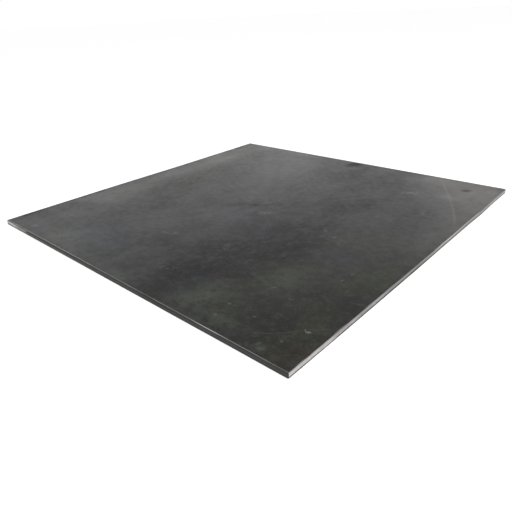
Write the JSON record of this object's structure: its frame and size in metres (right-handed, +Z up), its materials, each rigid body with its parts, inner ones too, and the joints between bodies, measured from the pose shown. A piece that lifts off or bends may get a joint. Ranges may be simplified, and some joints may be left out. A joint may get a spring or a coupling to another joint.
{
  "type": "steel plate",
  "caption": "Square of hot-rolled steel plate with dark mill scale, bright sheared ends and eased rolled edges; stock for base plates, welding and table tops.",
  "frame": {"origin": "centre of the underside, on the floor that the plate lies on", "axes": "+Z up through the thickness, +X toward the sheared end whose roll-over is on top, Y along that end between the two rolled edges"},
  "size_m": [0.5, 0.5, 0.006],
  "materials": {
    "hot_rolled_steel": "dark semi-matte mill scale, bright bare steel on the sheared ends"
  },
  "bodies": {
    "root": {"plate": "hot_rolled_steel"}
  },
  "joints": []
}
